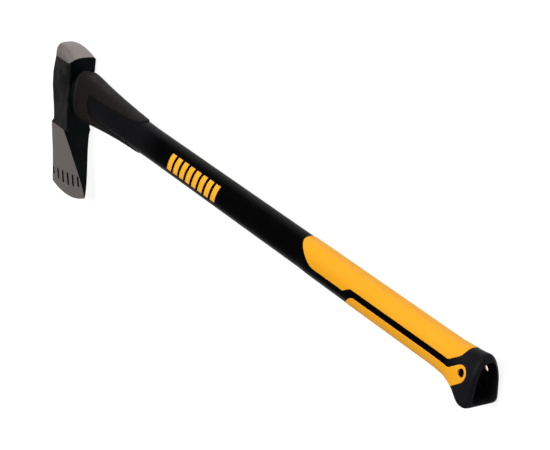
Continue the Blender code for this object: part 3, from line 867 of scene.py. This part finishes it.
def butt_profile():
    """Rings of the butt from its side, over the ridge and the crown, to the floor inside."""
    rings = []
    for x in spaced(KNOB_START, RIDGE_X - RIDGE_ROUND, (868, 912), 0.8, 1.6):
        rings.append(section_ring(GRIP.at(x), x, RING_POINTS))
    ridge = GRIP.at(RIDGE_X)
    crown = np.array(GRIP_SKIN[-1][1:])

    def end_face(t):
        rise = FACE_BREAK * t + (1 - FACE_BREAK) * t ** FACE_POWER
        return ridge + (crown - ridge) * rise, RIDGE_X + (CROWN_X - RIDGE_X) * t

    before = GRIP.at(RIDGE_X - RIDGE_ROUND)
    t = RIDGE_ROUND / (CROWN_X - RIDGE_X)
    after, after_x = end_face(t)
    places = (RIDGE_X - RIDGE_ROUND, RIDGE_X, after_x)
    for i in range(1, 7):
        rings.append(blend_ring((before, ridge, after), places, i / 6))
    for i in range(1, 10):
        rings.append(section_ring(*end_face(t + (RIM_SHARE - t) * i / 9), RING_POINTS))
    last, last_x = end_face(RIM_SHARE)
    inside_x = CROWN_X - RIM_ROUND
    inside = CAVITY.at(inside_x)
    places = (last_x, CROWN_X + RIM_LIFT, inside_x)
    for i in range(1, 9):
        rings.append(blend_ring((last, CAVITY.at(CROWN_X), inside), places, i / 8))
    for x in spaced(-inside_x + 0.6, -(CAVITY_START + 2.5), (-CROWN_X, -CAVITY_START), 0.9, 2.0):
        rings.append(section_ring(CAVITY.at(-x), -x, RING_POINTS))
    floor = CAVITY.at(CAVITY_START)
    for scale, rise in FLOOR_STEPS:
        row = np.array(floor)
        row[:3] *= scale
        rings.append(section_ring(row, CAVITY_START + rise, RING_POINTS))
    return rings


def blend_ring(rows, places, t):
    """Ring on a smooth bend through three rows: two ends and the corner between them."""
    shares = ((1 - t) ** 2, 2 * t * (1 - t), t ** 2)
    row = sum(share * np.array(values) for share, values in zip(shares, rows))
    x = sum(share * place for share, place in zip(shares, places))
    return section_ring(row, x, RING_POINTS)


def lanyard_tool(clearance=0.0):
    """Round tool through both walls, flared where it breaks the surface."""
    profile = LANYARD_FLARE + tuple((-z, flare) for z, flare in reversed(LANYARD_FLARE))
    count = OVAL_POINTS
    vertices = []
    for z, flare in profile:
        for i in range(count):
            turn = 2 * math.pi * i / count
            radius = LANYARD_RADIUS + clearance + flare
            vertices.append((LANYARD_X + radius * math.cos(turn),
                             LANYARD_Y + radius * math.sin(turn), z))
    faces = [list(range(count)), list(range(len(vertices) - count, len(vertices)))[::-1]]
    return finish_mesh("lanyard_tool", vertices, faces + band_faces(len(profile), count))


def build_knob():
    return loft("butt_cap", butt_profile(), BUTT_SHARP)


# ---------------------------------------------------------------- materials

# Colours, each as the two ends of a mottled range
STEEL = ((0.198, 0.176, 0.168), (0.287, 0.257, 0.246))
PAINT = ((0.0012, 0.0016, 0.0018), (0.0035, 0.004, 0.0045))
# The cheek paint below is painted highlight: a lighter copy of the black paint for the cheeks that
# look up, standing in for the light on them.
LIT_CHEEK_PAINT = ((0.0075, 0.0074, 0.0075), (0.022, 0.021, 0.0205))
JACKET_BLACK = ((0.0006, 0.0006, 0.0007), (0.0014, 0.0014, 0.0017))
# The grey below is painted sheen: a lighter copy of the jacket's black near the collar, standing in
# for light along the shaft.
JACKET_SHEEN = ((0.0042, 0.0043, 0.0048), (0.0072, 0.0074, 0.0083))
INK = ((0.80, 0.36, 0.02), (0.88, 0.43, 0.03))
YELLOW = ((0.72, 0.308, 0.008), (0.785, 0.348, 0.0125))
BUTT_BLACK = ((0.0052, 0.0052, 0.0062), (0.0088, 0.0088, 0.0101))
SEAL_BLACK = ((0.004, 0.004, 0.0045), (0.007, 0.007, 0.0075))
COLLAR_BROWN = ((0.0066, 0.0050, 0.0048), (0.0098, 0.0076, 0.0073))
PLUG_GREY = ((0.016, 0.016, 0.017), (0.024, 0.024, 0.025))
RESIN = ((0.36, 0.29, 0.14), (0.44, 0.37, 0.2))
GLASS_FIBRE = ((0.50, 0.44, 0.24), (0.72, 0.68, 0.48))
OVERLAY = ((0.012, 0.012, 0.014), (0.04, 0.04, 0.043))

STEEL_METALLIC = 0.6
SHEEN_X = (230.0, 275.0)          # where the jacket's painted sheen, a lighter grey standing in for light, gives way to its black
BUTT_BLEND = 22.0                # length over which the butt takes on its own colour
PRINT_X = (303.0, 421.0)         # printed bars: reach along and across the handle
PRINT_Y = (-9.5, 14.2)
PRINT_PITCH = 14.75
PRINT_BAR = 0.66                 # share of the pitch that is inked
PRINT_SLANT = 0.35               # X gained for each unit of Y


def new_material(name, base, roughness, specular=0.5):
    material = bpy.data.materials.new(name)
    material.use_nodes = True
    shader = material.node_tree.nodes["Principled BSDF"]
    shader.inputs["Base Color"].default_value = (*base, 1.0)
    shader.inputs["Roughness"].default_value = roughness
    shader.inputs["Specular IOR Level"].default_value = specular
    return material, material.node_tree, shader


def add_noise(tree, scale, detail=4.0, stretch=(1, 1, 1)):
    """Noise in object space; the scale counts features in a metre."""
    place = tree.nodes.new("ShaderNodeTexCoord")
    mapping = tree.nodes.new("ShaderNodeMapping")
    mapping.inputs["Scale"].default_value = stretch
    texture = tree.nodes.new("ShaderNodeTexNoise")
    texture.inputs["Scale"].default_value = scale
    texture.inputs["Detail"].default_value = detail
    tree.links.new(place.outputs["Object"], mapping.inputs["Vector"])
    tree.links.new(mapping.outputs["Vector"], texture.inputs["Vector"])
    return texture.outputs["Fac"]


def add_range(tree, value, low, high, start=0.3, end=0.7):
    """Map a value onto a range; the usual start and end are those of noise."""
    node = tree.nodes.new("ShaderNodeMapRange")
    node.inputs["From Min"].default_value = start
    node.inputs["From Max"].default_value = end
    node.inputs["To Min"].default_value = low
    node.inputs["To Max"].default_value = high
    tree.links.new(value, node.inputs["Value"])
    return node.outputs["Result"]


def add_mix(tree, share, first, second):
    node = tree.nodes.new("ShaderNodeMix")
    node.data_type = "RGBA"
    tree.links.new(share, node.inputs["Factor"])
    for socket, value in ((node.inputs[6], first), (node.inputs[7], second)):
        if isinstance(value, tuple):
            socket.default_value = (*value, 1.0)
        else:
            tree.links.new(value, socket)
    return node.outputs[2]


def add_math(tree, operation, first, second=None, third=None):
    node = tree.nodes.new("ShaderNodeMath")
    node.operation = operation
    for socket, value in zip(node.inputs, (first, second, third)):
        if value is None:
            continue
        if isinstance(value, (int, float)):
            socket.default_value = value
        else:
            tree.links.new(value, socket)
    return node.outputs[0]


def add_axes(tree, space="Object"):
    """Coordinates as separate X, Y and Z outputs."""
    place = tree.nodes.new("ShaderNodeTexCoord")
    axes = tree.nodes.new("ShaderNodeSeparateXYZ")
    tree.links.new(place.outputs[space], axes.inputs[0])
    return axes.outputs


def add_bump(tree, shader, value, strength, distance, before=None):
    node = tree.nodes.new("ShaderNodeBump")
    node.inputs["Strength"].default_value = strength
    node.inputs["Distance"].default_value = distance
    tree.links.new(value, node.inputs["Height"])
    if before is not None:
        tree.links.new(before, node.inputs["Normal"])
    tree.links.new(node.outputs["Normal"], shader.inputs["Normal"])
    return node.outputs["Normal"]


def moulded_plastic(name, colours, roughness, specular, grain, grain_depth):
    """Moulded plastic: soft mottling, uneven gloss and a fine spark-eroded grain."""
    material, tree, shader = new_material(name, colours[0], roughness, specular)
    mottle = add_noise(tree, 22, 3)
    tree.links.new(add_mix(tree, mottle, *colours), shader.inputs["Base Color"])
    gloss = add_noise(tree, 60, 3)
    tree.links.new(add_range(tree, gloss, roughness - 0.06, roughness + 0.08),
                   shader.inputs["Roughness"])
    add_bump(tree, shader, add_noise(tree, grain, 2), 0.5, grain_depth)
    return material


def butt_rubber():
    """Rubber of the butt, which takes on the jacket's colour where the two meet."""
    material = moulded_plastic("butt_rubber", BUTT_BLACK, 0.44, 0.04, 800, 0.00009)
    tree = material.node_tree
    shader = tree.nodes["Principled BSDF"]
    own = shader.inputs["Base Color"].links[0].from_socket
    share = add_range(tree, add_axes(tree)["X"], 0.0, 1.0, KNOB_START * MM,
                      (KNOB_START + BUTT_BLEND) * MM)
    black = add_mix(tree, add_noise(tree, 25, 3), *JACKET_BLACK)
    tree.links.new(add_mix(tree, share, black, own), shader.inputs["Base Color"])
    return material


def head_material():
    """Ground steel and black paint, divided by the value stored on the faces; the cheeks that look
    up get lighter paint as painted highlight.
    """
    material, tree, shader = new_material("forged_head", PAINT[1], 0.5, 0.03)
    finish_and_light = tree.nodes.new("ShaderNodeAttribute")
    finish_and_light.attribute_name = "finish_and_light"
    kind = finish_and_light.outputs["Fac"]
    ground = add_math(tree, "GREATER_THAN", kind, 0.75)
    # Painted highlight: faces marked 0.5, the cheeks that look up, take the lighter cheek paint.
    cheek = add_range(tree, kind, 0.0, 1.0, 0.0, 0.5)
    lines = add_noise(tree, 60, 6, (2.0, 30.0, 2.0))
    steel = add_mix(tree, lines, *STEEL)
    blotch = add_noise(tree, 38, 5)
    spread = add_range(tree, blotch, 0.0, 1.0, 0.35, 0.65)
    dark = add_mix(tree, spread, *PAINT)
    paint = add_mix(tree, cheek, dark, add_mix(tree, spread, *LIT_CHEEK_PAINT))
    tree.links.new(add_mix(tree, ground, paint, steel), shader.inputs["Base Color"])
    tree.links.new(add_math(tree, "MULTIPLY", ground, STEEL_METALLIC), shader.inputs["Metallic"])
    rough_steel = add_range(tree, lines, 0.36, 0.5)
    rough_paint = add_range(tree, blotch, 0.4, 0.6)
    mix = tree.nodes.new("ShaderNodeMix")
    mix.data_type = "FLOAT"
    tree.links.new(ground, mix.inputs[0])
    tree.links.new(rough_paint, mix.inputs[2])
    tree.links.new(rough_steel, mix.inputs[3])
    tree.links.new(mix.outputs[0], shader.inputs["Roughness"])
    pitting = add_bump(tree, shader, add_noise(tree, 260, 5), 0.4, 0.00025)
    add_bump(tree, shader, lines, 0.3, 0.0001, pitting)
    return material


def jacket_material():
    """Black jacket, lighter near the collar as painted sheen, with a plain printed row of slanted
    bars on each side.
    """
    material, tree, shader = new_material("black_jacket", JACKET_BLACK[1], 0.34, 0.02)
    mottle = add_noise(tree, 25, 3)
    # Painted sheen: the jacket turns from a lighter grey to black along X, standing in for light
    # along the shaft.
    share = add_range(tree, add_axes(tree)["X"], 0.0, 1.0, SHEEN_X[0] * MM, SHEEN_X[1] * MM)
    sheen = add_mix(tree, mottle, *JACKET_SHEEN)
    black = add_mix(tree, share, sheen, add_mix(tree, mottle, *JACKET_BLACK))
    inked = add_mix(tree, add_noise(tree, 400, 3), *INK)
    tree.links.new(add_mix(tree, add_print(tree), black, inked), shader.inputs["Base Color"])
    gloss = add_noise(tree, 70, 3)
    tree.links.new(add_range(tree, gloss, 0.28, 0.38), shader.inputs["Roughness"])
    add_bump(tree, shader, add_noise(tree, 1300, 2), 0.4, 0.00004)
    return material


def add_print(tree):
    """Mask of the printed bars, in the handle's own coordinates."""
    x, y, _ = add_axes(tree)
    lean = add_math(tree, "MULTIPLY_ADD", y, -PRINT_SLANT, x)
    start = PRINT_X[0] * MM
    pitch = PRINT_PITCH * MM
    phase = add_math(tree, "FRACT", add_math(tree, "MULTIPLY_ADD", lean, 1 / pitch, -start / pitch))
    bars = add_math(tree, "LESS_THAN", phase, PRINT_BAR)
    right = add_math(tree, "LESS_THAN", lean, PRINT_X[1] * MM)
    left = add_math(tree, "GREATER_THAN", lean, start)
    above = add_math(tree, "GREATER_THAN", y, PRINT_Y[0] * MM)
    below = add_math(tree, "LESS_THAN", y, PRINT_Y[1] * MM)
    mask = add_math(tree, "MULTIPLY", bars, right)
    for other in (left, above, below):
        mask = add_math(tree, "MULTIPLY", mask, other)
    return mask


def straight_fibres(name, colours, roughness, scale, stretch, detail, depth):
    """Straight strands along the handle under clear resin."""
    material, tree, shader = new_material(name, colours[0], roughness[0])
    strands = add_noise(tree, scale, detail, (stretch, 1.0, 1.0))
    tree.links.new(add_mix(tree, strands, *colours), shader.inputs["Base Color"])
    tree.links.new(add_range(tree, strands, *roughness), shader.inputs["Roughness"])
    add_bump(tree, shader, strands, 0.3, depth)
    return material


def set_material(item, material):
    item.data.materials.clear()
    item.data.materials.append(material)


def dress_node(name, material):
    """Give a CAD node that is carried over its finished material."""
    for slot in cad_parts[name].material_slots:
        slot.material = material


# ---------------------------------------------------------------- stage

CAMERA_LENS = 121.91             # in millimetres, and the place in handle coordinates
CAMERA_PLACE = (2142.0, 861.6, 1204.3)
CAMERA_RIGHT = Vector((0.5511, 0.1196, -0.8258))
CAMERA_DOWN = Vector((0.3883, -0.9127, 0.1269))
CAMERA_FORWARD = Vector((-0.7386, -0.3906, -0.5494))
KEY_PLACE = (0.2, 1.3, 2.6)      # soft light over the poll side, in metres
KEY_SIZE = (2.6, 2.0)
KEY_POWER = 119
FLOOR_REACH = 6.0
FLOOR_DROP = 0.0005
FLOOR_GLOW = 0.9
HORIZON_GLOW = 1.0
ROOM_GLOW = 0.09
HORIZON_BAND = (0.06, 0.16)      # height over which the backdrop fades into the room


def add_camera():
    data = bpy.data.cameras.new("camera")
    data.lens = CAMERA_LENS
    data.sensor_width = 36.0
    data.sensor_fit = "HORIZONTAL"
    camera = bpy.data.objects.new("camera", data)
    axes = Matrix((CAMERA_RIGHT, -CAMERA_DOWN, -CAMERA_FORWARD)).transposed().to_4x4()
    axes.translation = ORIGIN + Vector(CAMERA_PLACE) * MM
    camera.matrix_world = axes
    bpy.context.scene.collection.objects.link(camera)
    bpy.context.scene.camera = camera


def add_light():
    """Large soft light, aimed at the middle of the tool."""
    data = bpy.data.lights.new("key", "AREA")
    data.shape = "RECTANGLE"
    data.size, data.size_y = KEY_SIZE
    data.energy = KEY_POWER
    light = bpy.data.objects.new("key", data)
    light.location = KEY_PLACE
    light.rotation_euler = (-Vector(KEY_PLACE)).to_track_quat("-Z", "Y").to_euler()
    bpy.context.scene.collection.objects.link(light)


def add_backdrop():
    """Pale backdrop near the horizon, and a dim room above it."""
    world = bpy.data.worlds.new("studio")
    world.use_nodes = True
    tree = world.node_tree
    height = add_axes(tree, "Generated")["Z"]
    glow = add_range(tree, height, HORIZON_GLOW, ROOM_GLOW, *HORIZON_BAND)
    tree.links.new(glow, tree.nodes["Background"].inputs["Strength"])
    tree.nodes["Background"].inputs["Color"].default_value = (1.0, 1.0, 1.0, 1.0)
    bpy.context.scene.world = world


def add_floor():
    """Plain pale floor, just under the tool."""
    mesh = bpy.data.meshes.new("floor")
    corners = [(x * FLOOR_REACH, y * FLOOR_REACH, 0)
               for x, y in ((-1, -1), (1, -1), (1, 1), (-1, 1))]
    mesh.from_pydata(corners, [], [(0, 1, 2, 3)])
    floor = bpy.data.objects.new("floor", mesh)
    floor.location.z = -FLOOR_DROP
    bpy.context.scene.collection.objects.link(floor)
    material, _, shader = new_material("pale_floor", (0.2, 0.2, 0.2), 0.9, 0.0)
    shader.inputs["Emission Color"].default_value = (1.0, 1.0, 1.0, 1.0)
    shader.inputs["Emission Strength"].default_value = FLOOR_GLOW
    set_material(floor, material)


# ---------------------------------------------------------------- assembly

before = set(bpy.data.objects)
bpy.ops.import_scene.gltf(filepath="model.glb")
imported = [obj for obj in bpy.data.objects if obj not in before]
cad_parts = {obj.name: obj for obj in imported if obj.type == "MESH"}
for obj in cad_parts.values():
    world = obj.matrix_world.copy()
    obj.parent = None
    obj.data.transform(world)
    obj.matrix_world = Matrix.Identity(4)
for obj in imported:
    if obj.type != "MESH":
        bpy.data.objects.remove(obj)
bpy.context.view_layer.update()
CORE_LOW, CORE_HIGH = (Vector(corner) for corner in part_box("core_rod"))
ORIGIN = Vector((CORE_LOW.x - CORE_START * MM, (CORE_LOW.y + CORE_HIGH.y) / 2,
                 (CORE_LOW.z + CORE_HIGH.z) / 2))


def stand_in(item, material, node):
    """Make a finished piece take the place of its CAD node."""
    set_material(item, material)
    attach(item, "root")
    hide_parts(node)


def main():
    yellow = moulded_plastic("yellow_rubber", YELLOW, 0.52, 0.14, 1100, 0.00014)
    seal = moulded_plastic("seal_rubber", SEAL_BLACK, 0.62, 0.2, 700, 0.00008)
    collar = moulded_plastic("collar_rubber", COLLAR_BROWN, 0.56, 0.09, 700, 0.0001)
    plug = moulded_plastic("plug_plastic", PLUG_GREY, 0.5, 0.4, 800, 0.00006)
    resin = moulded_plastic("cured_resin", RESIN, 0.3, 0.5, 300, 0.0001)

    stand_in(build_head(), head_material(), "head")
    stand_in(build_eye_plug(), plug, "eye_plug")
    stand_in(build_seal(), seal, "eye_seal")
    stand_in(build_jacket(), jacket_material(), "shaft_jacket")
    stand_in(build_collar(), collar, "overstrike_collar")
    stand_in(build_saddle(), yellow, "grip_saddle")
    belly = build_belly()
    carve(belly, lanyard_tool(-LIP))
    stand_in(belly, yellow, "grip_belly")
    knob = build_knob()
    carve(knob, lanyard_tool())
    stand_in(knob, butt_rubber(), "butt_knob")

    dress_node("core_rod", straight_fibres("pultruded_core", GLASS_FIBRE, (0.28, 0.5), 500, 0.02, 4,
                                           0.00008))
    dress_node("core_overlay", straight_fibres("fibre_overlay", OVERLAY, (0.3, 0.5), 420, 0.05, 3,
                                               0.00006))
    dress_node("eye_epoxy", resin)
    dress_node("core_end_plug", plug)

    bpy.context.scene.view_settings.view_transform = "Standard"
    add_camera()
    add_backdrop()
    add_light()
    add_floor()


main()
